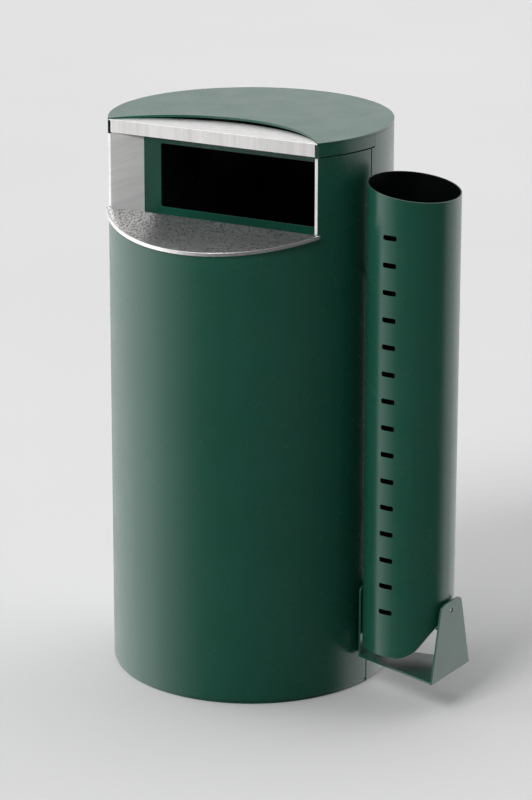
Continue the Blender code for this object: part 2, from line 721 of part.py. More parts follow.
# ---------------------------------------------------------------- liner
def make_liner():
    inner = LINER_RADIUS - LINER_WALL
    bead = 0.005
    profile = [
        (LINER_RADIUS, LINER_TOP), (LINER_RADIUS, LINER_BOTTOM), (0, LINER_BOTTOM),
        (0, LINER_BOTTOM + LINER_WALL), (inner, LINER_BOTTOM + LINER_WALL),
        (inner, LINER_TOP - 0.012), (LINER_RADIUS - bead, LINER_TOP - 0.008),
        (LINER_RADIUS - bead, LINER_TOP),
    ]
    liner = turned("liner", profile, closed=True, steps=64)
    paint(liner, ZINC, 0.5, 1.0)
    ear_outline = (
        [(-0.014, 0.655), (0.014, 0.655), (0.014, 0.705)]
        + arc((0, BAIL_Z), 0.011, 10, 170, 30)
        + [(-0.014, 0.705)]
    )
    for name, x in (("liner_ear_left", -LINER_RADIUS - 0.0026), ("liner_ear_right", LINER_RADIUS + 0.0006)):
        ear = plate(
            name, [ear_outline, circle((0, BAIL_Z), BAIL_WIRE + 0.0006)], 0.002, at(x, 0, 0, ALONG_X)
        )
        paint(ear, ZINC, 0.5, 1.0)


def make_bail(pivot):
    """Wire handle that lies on the liner's rim and swings up."""
    end = LINER_RADIUS + 0.0075
    lead_in = [(end, 0.0), (BAIL_RADIUS + 0.0015, 0.0), (BAIL_RADIUS + 0.0002, 0.0030)]
    half = arc((0, 0), BAIL_RADIUS, 3, 177, 6)
    lead_out = [(-x, y) for x, y in reversed(lead_in)]
    bail = curve_object("liner_handle", "3D")
    bail.data.bevel_depth = BAIL_WIRE
    bail.data.bevel_resolution = 1
    bail.data.use_fill_caps = True
    add_spline(bail.data, lead_in + half + lead_out, False)
    bail = as_mesh(bail)
    bail.matrix_basis = raised(BAIL_Z)
    smooth(bail)
    paint(bail, ZINC, 0.4, 1.0)
    hang(bail, pivot)


# ---------------------------------------------------------------- assembly
def make_fixed_body():
    make_rear_shell()
    make_top_plate()
    make_skirts()
    make_roof_lip()
    make_roof_crossbar()
    make_base()
    make_jambs()
    make_keeper_stud()
    make_saddle()
    make_bracket()
    make_bracket_fixings()
    make_liner()


def make_door():
    hinge_x, hinge_y = ring_point(HINGE_AXIS_RADIUS, -SEAM_AZIMUTH)
    door = empty("door_pivot", at(hinge_x, hinge_y, 0))
    make_hinges(door)
    hang(make_door_shell(), door)
    hang(make_sill(), door)
    hang(make_cheek("cheek_left", -1), door)
    cheek = make_cheek("cheek_right", 1)
    hole = plate(
        "cheek_lock_cut", [circle((LOCK_Y, LOCK_Z), 0.0100, 20)], 0.02,
        at(CHEEK_OUTER_X - 0.01, 0, 0, ALONG_X)
    )
    cut(cheek, hole)
    hang(cheek, door)
    hang(make_inner_frame(), door)
    hang(make_door_hem(), door)
    make_lock(door, empty("lock_pivot", at(CHEEK_OUTER_X, LOCK_Y, LOCK_Z)))


def make_tube_group():
    pivot = empty("tube_pivot", BRACKET @ at(TUBE_A, TUBE_B, PIVOT_Z))
    make_tube(pivot)
    make_pivots(pivot)
    make_catch(pivot)


make_fixed_body()
make_door()
make_tube_group()
make_bail(empty("handle_pivot", at(0, 0, BAIL_Z)))
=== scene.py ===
"""Looks of the litter bin: fine sheet-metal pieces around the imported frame, materials, studio and camera.

Metres, +Z up, with the bin's front at -Y and its can tube on +X. Angles are in degrees, and azimuths run
from the front towards +X.
"""

import json
from math import acos, asin, cos, degrees, radians, sin, tan

import bmesh
import bpy
from mathutils import Matrix, Vector


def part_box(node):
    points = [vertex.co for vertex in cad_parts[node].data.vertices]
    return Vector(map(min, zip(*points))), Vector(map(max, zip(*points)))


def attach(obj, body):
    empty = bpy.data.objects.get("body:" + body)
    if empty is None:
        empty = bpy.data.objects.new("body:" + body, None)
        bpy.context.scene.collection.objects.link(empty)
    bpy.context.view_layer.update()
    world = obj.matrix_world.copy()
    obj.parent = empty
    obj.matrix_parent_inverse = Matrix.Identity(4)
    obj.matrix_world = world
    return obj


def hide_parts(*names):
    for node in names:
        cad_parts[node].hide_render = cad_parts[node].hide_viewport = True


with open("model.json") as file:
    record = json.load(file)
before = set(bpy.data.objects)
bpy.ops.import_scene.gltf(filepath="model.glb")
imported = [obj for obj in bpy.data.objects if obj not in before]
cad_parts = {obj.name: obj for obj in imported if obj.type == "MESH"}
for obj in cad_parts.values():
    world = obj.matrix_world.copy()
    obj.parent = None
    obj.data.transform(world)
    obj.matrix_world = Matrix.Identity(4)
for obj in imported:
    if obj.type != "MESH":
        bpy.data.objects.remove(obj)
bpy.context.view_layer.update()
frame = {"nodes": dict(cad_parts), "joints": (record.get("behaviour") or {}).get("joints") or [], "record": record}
NODES = frame["nodes"]
JOINTS = {joint["name"]: joint for joint in frame["joints"]}

# ---------------------------------------------------------------- sizes read from the frame
SHELL_LOW, SHELL_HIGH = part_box("rear_shell")
DOOR_LOW, DOOR_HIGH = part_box("door_shell")
LID_LOW, LID_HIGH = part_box("top_plate")
SKIRT_LOW, SKIRT_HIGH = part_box("skirt_right")
SILL_LOW, SILL_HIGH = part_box("sill")
CHEEK_LOW, CHEEK_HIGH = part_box("cheek_right")
LIP_LOW, LIP_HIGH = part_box("roof_lip")
FRAME_LOW, FRAME_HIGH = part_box("inner_frame")
BIN_RADIUS = LID_HIGH.y
SILL_RADIUS = -SILL_LOW.y
CHORD_Y = CHEEK_LOW.y
CHORD_AZIMUTH = degrees(acos(-CHORD_Y / BIN_RADIUS))
TUBE_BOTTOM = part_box("tube")[0].z
TUBE_PIVOT = Vector(JOINTS["tube_tilt"]["pos_m"])
TUBE_AXIS = Vector(JOINTS["tube_tilt"]["axis"])
TUBE_TURN = Matrix.Rotation(-acos(TUBE_AXIS.x), 4, "Z")
TUBE_PLACE = Matrix.Translation((TUBE_PIVOT.x, TUBE_PIVOT.y, 0)) @ TUBE_TURN
LOCK_PLACE = Vector(JOINTS["lock_turn"]["pos_m"])

# ---------------------------------------------------------------- sizes that the frame doesn't state
SHEET = 0.002
GAP = 0.0003

# The seam between the shells, the skirt's two ends, and the rear shell's notches under it, in degrees
SEAM_AZIMUTH = 84.5
SEAM_HALF_GAP = 0.23
SKIRT_END_AZIMUTH = 87.0
SKIRT_INSET = 0.3
NOTCH_OVERLAP = 1.0

# Roof lip: its inset from the lid's edge, and its upright face
LIP_SLOPE = -0.0636
LIP_INSET = 0.0006
LIP_FACE_INSET = 0.0045
LIP_FACE_DROP = 0.0008

# Sill, its back flange and the rolled rim along its front edge
SILL_SLOPE = 0.238
SILL_THICKNESS = 0.003
SILL_FLANGE_HALF_WIDTH = 0.195
SILL_FLANGE_HEIGHT = 0.0255
SILL_FLANGE_DROP = 0.0265
RIM_PROUD = 0.0003
RIM_HEIGHT = 0.0060
RIM_RISE = 0.0001

# How far the door shell's opening reaches behind the chord
INLET_BACK = 0.0018

# Cheeks: a web with a narrow flange at its front
CHEEK_SHEET = 0.0015
CHEEK_FLANGE_WIDTH = 0.0035
CHEEK_FLANGE_OVERLAP = 0.0005
CHEEK_FLANGE_RISE = 0.0007
LOCK_HOLE_RADIUS = 0.0100

# Inner frame: the opening's half width, bottom and top, and the radius of its corners
FRAME_OPENING = (0.168, 0.823, 0.938)
FRAME_CORNER = 0.004

# Can tube: a mouth that slopes both ways, a column of slots, and a foot cut to a slope with a rounded corner
TUBE_RADIUS = 0.080
TUBE_BLANK = 0.90
TUBE_MOUTH = 0.9213
MOUTH_SLOPES = (-0.1377, 0.028)
SLOT_FIRST = 0.181
SLOT_PITCH = 0.0477
SLOT_COUNT = 15
SLOT_SIZE = (0.026, 0.009)
SLOT_CORNER = 0.0030
BORE_RADIUS = 0.0042
FOOT_HEIGHT = 0.163
FOOT_ANGLE = 60.0
FOOT_ROUNDING = 0.045

# Widths of the rounded edges, the least angle that is rounded, and how strongly large faces stay flat
SHEET_EDGE = 0.0005
THIN_EDGE = 0.0004
LID_EDGE = 0.0007
LIP_EDGE = 0.0006
SILL_EDGE = 0.0011
RIM_EDGE = 0.0007
FITTING_EDGE = 0.0003
EDGE_ANGLE = 32.0
FLAT_WEIGHT = 100

# Steps of the arcs in degrees, and how far the cutters reach
FINE_STEP = 1.5
TUBE_STEP = 3.0
NOTCH_STEP = 0.8
FOOT_STEP = 4.0
PAST = 0.010
TUBE_REACH = 0.1
BIN_REACH = 0.3

# Cleaning of the meshes: points this close are merged, and faces this flat (in radians) are joined
MERGE_DISTANCE = 0.000001
CUT_MERGE_DISTANCE = 0.000002
CAD_MERGE_DISTANCE = 0.00001
FLAT_ANGLE = 0.0005
CUT_FLAT_ANGLE = 0.001

# ---------------------------------------------------------------- surroundings and camera
# Brightness of the surroundings by azimuth, where 90 is the can tube's side
GLOW = (
    (-90, 0.86), (-62, 0.88), (-46, 0.56), (-32, 0.34), (-14, 0.06), (10, 0.015), (104, 0.015), (118, 0.50),
    (150, 0.72), (190, 0.42), (225, 0.36), (248, 0.60), (270, 0.86),
)
GLOW_STRENGTH = 2.2
KEY_STRENGTH = 1.75
KEY_AZIMUTH = -12.0
KEY_ELEVATION = 44.0
KEY_ANGLE = 24.0
SPOT_PLACE = Vector((1.75, -1.25, 1.30))
SPOT_TARGET = Vector((-0.2022, -0.084, 0.885))
SPOT_POWER = 150.0
SPOT_ANGLE = 7.5
SPOT_BLEND = 0.5
SPOT_SIZE = 0.05
FLOOR_RADIUS = 40.0
FLOOR_DROP = 0.0005

CAMERA_AZIMUTH = 29.452
CAMERA_DISTANCE = 5.0379
CAMERA_HEIGHT = 2.0732
CAMERA_PITCH = 15.219
CAMERA_LENS = 132.594
CAMERA_SHIFT = (0.0187, -0.15)
SENSOR_WIDTH = 36.0

# Turns that lay a plate's thickness along X, or along -Y
ALONG_X = Matrix(((0, 0, 1, 0), (1, 0, 0, 0), (0, 1, 0, 0), (0, 0, 0, 1)))
ALONG_Y = Matrix(((1, 0, 0, 0), (0, 0, -1, 0), (0, 1, 0, 0), (0, 0, 0, 1)))
IDENTITY = Matrix.Identity(4)

# Sockets of a colour Mix node, by number because their names repeat for each type of value
MIX_FACTOR, MIX_NEAR, MIX_FAR = 0, 6, 7
MIX_RESULT = 2

# How far under its outer face a shell or tube turns dark; from there inwards its colour is painted shade for its
# dim inside
PAINTED_SHADE_DEPTH = 0.0012


# ---------------------------------------------------------------- shader helpers
def fill_ramp(node, stops):
    """Gives a colour ramp its stops, each of which is (position, colour)."""
    elements = node.color_ramp.elements
    while len(elements) < len(stops):
        elements.new(0.5)
    for element, (position, colour) in zip(elements, stops):
        element.position = position
        element.color = (*colour, 1.0)


class Shader:
    """A Principled material under construction."""

    def __init__(self, name, roughness, metallic=0.0):
        self.material = bpy.data.materials.new(name)
        self.material.use_nodes = True
        self.tree = self.material.node_tree
        self.shader = self.tree.nodes["Principled BSDF"]
        self.set("Roughness", roughness)
        self.set("Metallic", metallic)
        coordinates = self.tree.nodes.new("ShaderNodeTexCoord")
        self.place = coordinates.outputs["Object"]

    def set(self, socket, value):
        self.shader.inputs[socket].default_value = value

    def node(self, kind, **settings):
        node = self.tree.nodes.new(kind)
        for key, value in settings.items():
            setattr(node, key, value)
        return node

    def link(self, source, target):
        self.tree.links.new(source, target)

    def scaled(self, scale):
        mapping = self.node("ShaderNodeMapping")
        mapping.inputs["Scale"].default_value = scale
        self.link(self.place, mapping.inputs["Vector"])
        return mapping.outputs["Vector"]

    def noise(self, scale, detail=3.0, rough=0.55, stretch=(1, 1, 1)):
        noise = self.node("ShaderNodeTexNoise")
        noise.inputs["Scale"].default_value = scale
        noise.inputs["Detail"].default_value = detail
        noise.inputs["Roughness"].default_value = rough
        self.link(self.scaled(stretch), noise.inputs["Vector"])
        return noise.outputs["Fac"]

    def cells(self, scale):
        voronoi = self.node("ShaderNodeTexVoronoi")
        voronoi.inputs["Scale"].default_value = scale
        self.link(self.place, voronoi.inputs["Vector"])
        return voronoi.outputs["Color"]

    def ramp(self, value, *stops):
        ramp = self.node("ShaderNodeValToRGB")
        fill_ramp(ramp, stops)
        self.link(value, ramp.inputs["Fac"])
        return ramp.outputs["Color"]

    def span(self, value, low, high, start=0.3, end=0.7):
        span = self.node("ShaderNodeMapRange")
        span.inputs["From Min"].default_value = start
        span.inputs["From Max"].default_value = end
        span.inputs["To Min"].default_value = low
        span.inputs["To Max"].default_value = high
        self.link(value, span.inputs["Value"])
        return span.outputs["Result"]

    def beyond(self, radius):
        """1 outside a radius about the piece's own Z axis, and 0 within it."""
        length = self.node("ShaderNodeVectorMath", operation="LENGTH")
        self.link(self.scaled((1, 1, 0)), length.inputs[0])
        step = self.node("ShaderNodeMath", operation="GREATER_THAN")
        step.inputs[1].default_value = radius
        self.link(length.outputs["Value"], step.inputs[0])
        return step.outputs["Value"]

    def mixed(self, factor, near, far):
        mix = self.node("ShaderNodeMix", data_type="RGBA")
        self.link(factor, mix.inputs[MIX_FACTOR])
        self.link(near, mix.inputs[MIX_NEAR])
        self.link(far, mix.inputs[MIX_FAR])
        return mix.outputs[MIX_RESULT]

    def bump(self, *layers):
        """Each layer is (height, strength, distance)."""
        normal = None
        for height, strength, distance in layers:
            bump = self.node("ShaderNodeBump")
            bump.inputs["Strength"].default_value = strength
            bump.inputs["Distance"].default_value = distance
            self.link(height, bump.inputs["Height"])
            if normal:
                self.link(normal, bump.inputs["Normal"])
            normal = bump.outputs["Normal"]
        self.link(normal, self.shader.inputs["Normal"])

    def colour(self, source):
        self.link(source, self.shader.inputs["Base Color"])

    def roughness(self, source):
        self.link(source, self.shader.inputs["Roughness"])


def green_paint(name, inside=None):
    """Satin powder coat; a shell or a tube is nearly black within the radius given, as painted shade for its dim
    inside.
    """
    paint = Shader(name, 0.26)
    paint.set("IOR", 1.5)
    tone = paint.noise(5.0, 4.0)
    green = paint.ramp(tone, (0.30, (0.0082, 0.0700, 0.0450)), (0.70, (0.0105, 0.0760, 0.0500)))
    if inside:
        # Painted shade: the inner faces are coloured nearly black to stand for the darkness inside the bin and the
        # tube
        painted_inner_shade = paint.ramp(tone, (0.30, (0.0010, 0.0024, 0.0020)), (0.70, (0.0022, 0.0046, 0.0038)))
        paint.colour(paint.mixed(paint.beyond(inside), painted_inner_shade, green))
    else:
        paint.colour(green)
    paint.roughness(paint.span(paint.noise(14.0, 5.0), 0.22, 0.30))
    paint.bump((paint.noise(650.0, 2.0), 0.04, 0.0002))
    return paint.material


def brushed_steel(name, stretch, light, rough=(0.26, 0.38), depth=0.16, metallic=1.0):
    """Stainless sheet; a stretch below 1 draws its grain out along that axis."""
    steel = Shader(name, 0.3, metallic)
    grain = steel.noise(60.0, 6.0, 0.7, stretch)
    broad = steel.noise(7.0, 3.0)
    dull = (light * 0.80, light * 0.785, light * 0.78)
    steel.colour(steel.ramp(grain, (0.30, dull), (0.70, (light, light * 0.985, light * 0.98))))
    steel.roughness(steel.span(broad, *rough))
    steel.bump((grain, depth, 0.0004), (broad, 0.02, 0.002))
    return steel.material


def speckled_steel():
    """Stainless sheet with a fine hammered grain in its bumps and roughness, and painted reflections in its
    colour.
    """
    steel = Shader("speckled_steel", 0.3, 0.92)
    grain_and_painted_reflections = steel.noise(330.0, 2.0, 0.65, (1.0, 0.6, 1.0))
    # Painted reflections: the dark and bright spots in the colour stand for dark and bright surroundings mirrored
    # in the sheet
    dark, middle, bright = (0.20, 0.20, 0.20), (0.88, 0.87, 0.87), (0.97, 0.96, 0.96)
    steel.colour(steel.ramp(grain_and_painted_reflections, (0.38, dark), (0.50, middle), (0.60, bright)))
    steel.roughness(steel.span(grain_and_painted_reflections, 0.30, 0.12))
    steel.bump((grain_and_painted_reflections, 0.30, 0.0008))
    return steel.material


def galvanised():
    zinc = Shader("galvanised_sheet", 0.45, 1.0)
    spangle = zinc.cells(70.0)
    zinc.colour(zinc.ramp(spangle, (0.0, (0.33, 0.35, 0.36)), (1.0, (0.56, 0.58, 0.59))))
    zinc.roughness(zinc.span(spangle, 0.36, 0.56, 0.0, 1.0))
    zinc.bump((zinc.noise(300.0, 2.0), 0.08, 0.0004))
    return zinc.material


def plated_steel():
    zinc = Shader("zinc_plated", 0.38, 1.0)
    tone = zinc.noise(90.0, 4.0)
    zinc.colour(zinc.ramp(tone, (0.3, (0.42, 0.43, 0.44)), (0.7, (0.58, 0.58, 0.57))))
    zinc.roughness(zinc.span(tone, 0.30, 0.46))
    zinc.bump((zinc.noise(900.0, 2.0), 0.06, 0.0002))
    return zinc.material


def turned_brass():
    brass = Shader("turned_brass", 0.32, 1.0)
    rings = brass.noise(500.0, 3.0, 0.6, (6.0, 1.0, 1.0))
    brass.colour(brass.ramp(rings, (0.3, (0.44, 0.28, 0.09)), (0.7, (0.62, 0.43, 0.16))))
    brass.roughness(brass.span(rings, 0.25, 0.42))
    brass.bump((rings, 0.10, 0.0002))
    return brass.material


def black_nylon():
    nylon = Shader("black_nylon", 0.5)
    grain = nylon.noise(420.0, 3.0)
    nylon.colour(nylon.ramp(grain, (0.3, (0.008, 0.008, 0.009)), (0.7, (0.020, 0.020, 0.021))))
    nylon.roughness(nylon.span(grain, 0.45, 0.62))
    nylon.bump((grain, 0.15, 0.0003))
    return nylon.material


def floor_material():
    floor = Shader("studio_floor", 0.6)
    floor.set("Specular IOR Level", 0.2)
    tone = floor.noise(0.7, 2.0)
    floor.colour(floor.ramp(tone, (0.3, (0.62, 0.62, 0.62)), (0.7, (0.64, 0.64, 0.64))))
    return floor.material


GREEN = green_paint("green_powder_coat")
# The shell and tube copies carry painted shade on their inner faces
GREEN_SHELL_SHADED_INSIDE = green_paint("green_powder_coat_shell_painted_shade_inside", BIN_RADIUS - PAINTED_SHADE_DEPTH)
GREEN_TUBE_SHADED_INSIDE = green_paint("green_powder_coat_tube_painted_shade_inside", TUBE_RADIUS - PAINTED_SHADE_DEPTH)
STEEL_DEEP = brushed_steel(
    "brushed_steel_deep", (1.0, 0.06, 1.0), light=0.86, rough=(0.42, 0.52), depth=0.30, metallic=0.25
)
STEEL_UPRIGHT = brushed_steel(
    "brushed_steel_upright", (1.0, 1.0, 0.03), light=0.92, rough=(0.24, 0.34), depth=0.12, metallic=0.85
)
STEEL_SPECKLED = speckled_steel()
STEEL_TURNED = brushed_steel("turned_steel", (1.0, 1.0, 1.0), light=0.62)
GALVANISED = galvanised()
ZINC = plated_steel()
BRASS = turned_brass()
NYLON = black_nylon()


# ---------------------------------------------------------------- mesh helpers
def new_object(name, mesh, matrix=IDENTITY):
    obj = bpy.data.objects.new(name, mesh)
    bpy.context.scene.collection.objects.link(obj)
    obj.matrix_basis = matrix
    return obj


def arc(centre, radius, start, end, step=15.0):
    count = max(1, round(abs(end - start) / step))
    turns = [radians(start + (end - start) * i / count) for i in range(count + 1)]
    return [(centre[0] + radius * cos(turn), centre[1] + radius * sin(turn)) for turn in turns]


def circle(centre, radius, step=10.0):
    return arc(centre, radius, 0, 360, step)[:-1]


def ring_arc(radius, start, end, step=FINE_STEP):
    """Points about the body's axis, from one azimuth to another."""
    return arc((0, 0), radius, start - 90, end - 90, step)


def mirrored_arc(radius):
    """A circle about the body's axis, mirrored in the opening's chord: the part of it behind the chord."""
    half = degrees(asin(-CHORD_Y / radius))
    return arc((0, 2 * CHORD_Y), radius, 180 - half, half, FINE_STEP)


def box_outline(x0, y0, x1, y1):
    return [(x0, y0), (x1, y0), (x1, y1), (x0, y1)]


def rounded_box(x0, y0, x1, y1, corner):
    return (
        arc((x1 - corner, y1 - corner), corner, 0, 90)
        + arc((x0 + corner, y1 - corner), corner, 90, 180)
        + arc((x0 + corner, y0 + corner), corner, 180, 270)
        + arc((x1 - corner, y0 + corner), corner, 270, 360)
    )


def plate(name, loops, thickness, matrix=IDENTITY):
    """A flat outline, with any holes, made thick from its own plane along local +Z."""
    curve = bpy.data.curves.new(name, "CURVE")
    curve.dimensions = "2D"
    curve.fill_mode = "BOTH"
    curve.extrude = thickness / 2
    for points in loops:
        spline = curve.splines.new("POLY")
        spline.points.add(len(points) - 1)
        for place, (x, y) in zip(spline.points, points):
            place.co = (x, y, 0, 1)
        spline.use_cyclic_u = True
    draft = new_object(f"{name}_outline", curve)
    mesh = bpy.data.meshes.new_from_object(draft.evaluated_get(bpy.context.evaluated_depsgraph_get()))
    bpy.data.objects.remove(draft)
    shape = bmesh.new()
    shape.from_mesh(mesh)
    bmesh.ops.remove_doubles(shape, verts=shape.verts, dist=MERGE_DISTANCE)
    bmesh.ops.translate(shape, verts=shape.verts, vec=(0, 0, thickness / 2))
    bmesh.ops.recalc_face_normals(shape, faces=shape.faces)
    bmesh.ops.dissolve_limit(shape, angle_limit=FLAT_ANGLE, verts=shape.verts, edges=shape.edges)
    shape.to_mesh(mesh)
    shape.free()
    mesh.name = name
    return new_object(name, mesh, matrix)


def raised(height, matrix=IDENTITY):
    return matrix @ Matrix.Translation((0, 0, height))


def at(x, y, z, turn=IDENTITY):
    return Matrix.Translation((x, y, z)) @ turn


def sloped(obj, slope_x, slope_y, about=(0, 0)):
    """Sheared along Z by a slope for X and one for Y, so that the point given keeps its height."""
    shear = Matrix.Identity(4)
    shear[2][0] = slope_x
    shear[2][1] = slope_y
    shear[2][3] = -slope_x * about[0] - slope_y * about[1]
    obj.data.transform(shear)
    return obj


def band(name, inner, outer, start, end, bottom, top, step=FINE_STEP):
    """An upright wall about the body's axis, from one azimuth to another."""
    outline = ring_arc(outer, start, end, step) + ring_arc(inner, end, start, step)
    return plate(name, [outline], top - bottom, raised(bottom))


def apply_boolean(obj, other, operation):
    modifier = obj.modifiers.new(other.name, "BOOLEAN")
    modifier.operation = operation
    modifier.solver = "EXACT"
    modifier.object = other
    graph = bpy.context.evaluated_depsgraph_get()
    mesh = bpy.data.meshes.new_from_object(obj.evaluated_get(graph))
    obj.modifiers.clear()
    obj.data = mesh
    bpy.data.objects.remove(other)
    shape = bmesh.new()
    shape.from_mesh(mesh)
    bmesh.ops.remove_doubles(shape, verts=shape.verts, dist=CUT_MERGE_DISTANCE)
    bmesh.ops.dissolve_limit(shape, angle_limit=CUT_FLAT_ANGLE, verts=shape.verts, edges=shape.edges)
    shape.to_mesh(mesh)
    shape.free()


def cut(obj, *cutters):
    for cutter in cutters:
        apply_boolean(obj, cutter, "DIFFERENCE")


def join(obj, *others):
    for other in others:
        apply_boolean(obj, other, "UNION")


def finish_edges(obj, width, segments=2):
    """Rounded edges and smooth shading, as on deburred and coated sheet."""
    bevel = obj.modifiers.new("rounded_edges", "BEVEL")
    bevel.width = width
    bevel.segments = segments
    bevel.limit_method = "ANGLE"
    bevel.angle_limit = radians(EDGE_ANGLE)
    bevel.use_clamp_overlap = True
    obj.data.shade_smooth()
    flats = obj.modifiers.new("flat_faces", "WEIGHTED_NORMAL")
    flats.weight = FLAT_WEIGHT


def dress(obj, material, body, slot, *nodes):
    """Gives a piece its finish and its body, and hides the CAD nodes that it stands in for; the slot is not used.
    """
    obj.data.materials.clear()
    obj.data.materials.append(material)
    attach(obj, body)
    if nodes:
        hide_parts(*nodes)


# ---------------------------------------------------------------- housing
def make_rear_shell():
    edge = SEAM_AZIMUTH + SEAM_HALF_GAP
    inner, outer = BIN_RADIUS - SHEET, BIN_RADIUS
    shell = band("rear_shell_fine", inner, outer, edge, 360 - edge, SHELL_LOW.z, SHELL_HIGH.z)
    past_edge = edge - NOTCH_OVERLAP
    for start, end in ((past_edge, SKIRT_END_AZIMUTH), (360 - SKIRT_END_AZIMUTH, 360 - past_edge)):
        notch = band("notch", BIN_RADIUS - PAST, BIN_RADIUS + PAST, start, end, DOOR_HIGH.z,
                     LID_HIGH.z + PAST, NOTCH_STEP)
        cut(shell, notch)
    finish_edges(shell, SHEET_EDGE)
    dress(shell, GREEN_SHELL_SHADED_INSIDE, "housing", "green_paint", "rear_shell")


def make_lid():
    rim = ring_arc(BIN_RADIUS, CHORD_AZIMUTH, 360 - CHORD_AZIMUTH)
    front = mirrored_arc(BIN_RADIUS)
    lid = plate("lid", [rim + front[1:-1]], LID_HIGH.z - LID_LOW.z, raised(LID_LOW.z))
    finish_edges(lid, LID_EDGE, segments=3)
    dress(lid, GREEN, "housing", "green_paint", "top_plate")


def make_skirts():
    start = CHORD_AZIMUTH + SKIRT_INSET
    for side, sign in (("left", -1), ("right", 1)):
        ends = sorted((sign * start, sign * SKIRT_END_AZIMUTH))
        skirt = band(f"skirt_{side}_fine", BIN_RADIUS - SHEET, BIN_RADIUS, *ends, SKIRT_LOW.z, SKIRT_HIGH.z)
        finish_edges(skirt, SHEET_EDGE)
        dress(skirt, GREEN_SHELL_SHADED_INSIDE, "housing", "green_paint", f"skirt_{side}")


def make_roof_lip():
    outline = mirrored_arc(BIN_RADIUS - LIP_INSET)
    roof = sloped(plate("roof_lip_fine", [outline], SHEET), 0, LIP_SLOPE, (0, CHORD_Y))
    roof.matrix_basis = raised(LIP_HIGH.z - SHEET)
    half_width = outline[-1][0] - LIP_FACE_INSET
    height = LIP_HIGH.z - LIP_LOW.z - LIP_FACE_DROP
    front = box_outline(-half_width, CHORD_Y, half_width, CHORD_Y + SHEET)
    join(roof, plate("roof_lip_face", [front], height, raised(LIP_LOW.z)))
    finish_edges(roof, LIP_EDGE, segments=3)
    dress(roof, STEEL_UPRIGHT, "housing", "stainless", "roof_lip")


# ---------------------------------------------------------------- door
def make_door_shell():
    edge = SEAM_AZIMUTH - SEAM_HALF_GAP
    shell = band("door_shell_fine", BIN_RADIUS - SHEET, BIN_RADIUS, -edge, edge, DOOR_LOW.z, DOOR_HIGH.z)
    in_front = box_outline(-BIN_REACH, -BIN_REACH, BIN_REACH, CHORD_Y + INLET_BACK)
    opening = sloped(plate("opening", [in_front], BIN_REACH), 0, SILL_SLOPE, (0, CHORD_Y))
    opening.matrix_basis = raised(SILL_HIGH.z - SILL_THICKNESS - GAP)
    cut(shell, opening)
    finish_edges(shell, SHEET_EDGE)
    dress(shell, GREEN_SHELL_SHADED_INSIDE, "door", "green_paint", "door_shell")


def make_sill():
    back = CHORD_Y - GAP
    half = degrees(acos(-back / SILL_RADIUS))
    top = plate("sill_fine", [ring_arc(SILL_RADIUS, -half, half)], SILL_THICKNESS)
    sill = sloped(top, 0, SILL_SLOPE, (0, CHORD_Y))
    sill.matrix_basis = raised(SILL_HIGH.z - SILL_THICKNESS)
    strip = box_outline(-SILL_FLANGE_HALF_WIDTH, back - SHEET, SILL_FLANGE_HALF_WIDTH, back)
    join(sill, plate("sill_flange", [strip], SILL_FLANGE_HEIGHT, raised(SILL_HIGH.z - SILL_FLANGE_DROP)))
    finish_edges(sill, SILL_EDGE, segments=3)
    dress(sill, STEEL_SPECKLED, "door", "stainless", "sill")

    outer = SILL_RADIUS + RIM_PROUD
    rim = band("sill_rim", outer - SHEET, outer, -half, half, 0, RIM_HEIGHT)
    sloped(rim, 0, SILL_SLOPE, (0, CHORD_Y))
    rim.matrix_basis = raised(SILL_HIGH.z + RIM_RISE - RIM_HEIGHT)
    finish_edges(rim, RIM_EDGE, segments=3)
    dress(rim, STEEL_UPRIGHT, "door", "stainless")


def make_cheek(side, sign):
    name = f"cheek_{side}"
    outer = sign * (CHEEK_HIGH.x - CHEEK_FLANGE_WIDTH)
    inner = outer - sign * CHEEK_SHEET
    x0, x1 = sorted((outer, inner))
    height = CHEEK_HIGH.z - CHEEK_LOW.z
    web = plate(f"{name}_fine", [box_outline(x0, CHORD_Y, x1, CHEEK_HIGH.y)], height, raised(CHEEK_LOW.z))
    x0, x1 = sorted((inner + sign * CHEEK_FLANGE_OVERLAP, sign * CHEEK_HIGH.x))
    bottom = SILL_HIGH.z + CHEEK_FLANGE_RISE
    strip = box_outline(x0, CHORD_Y, x1, CHORD_Y + CHEEK_SHEET)
    join(web, plate(f"{name}_flange", [strip], CHEEK_HIGH.z - GAP - bottom, raised(bottom)))
    if sign > 0:
        hole = circle((LOCK_PLACE.y, LOCK_PLACE.z), LOCK_HOLE_RADIUS)
        cut(web, plate("lock_hole", [hole], 2 * PAST, at(LOCK_PLACE.x - PAST, 0, 0, ALONG_X)))
    finish_edges(web, THIN_EDGE)
    dress(web, STEEL_DEEP, "door", "stainless", name)


def make_inner_frame():
    half, bottom, top = FRAME_OPENING
    outer = box_outline(FRAME_LOW.x, FRAME_LOW.z, FRAME_HIGH.x, FRAME_HIGH.z)
    hole = rounded_box(-half, bottom, half, top, FRAME_CORNER)
    panel = plate("inner_frame_fine", [outer, hole], SHEET, at(0, FRAME_HIGH.y, 0, ALONG_Y))
    finish_edges(panel, SHEET_EDGE)
    dress(panel, GREEN, "door", "green_paint", "inner_frame")


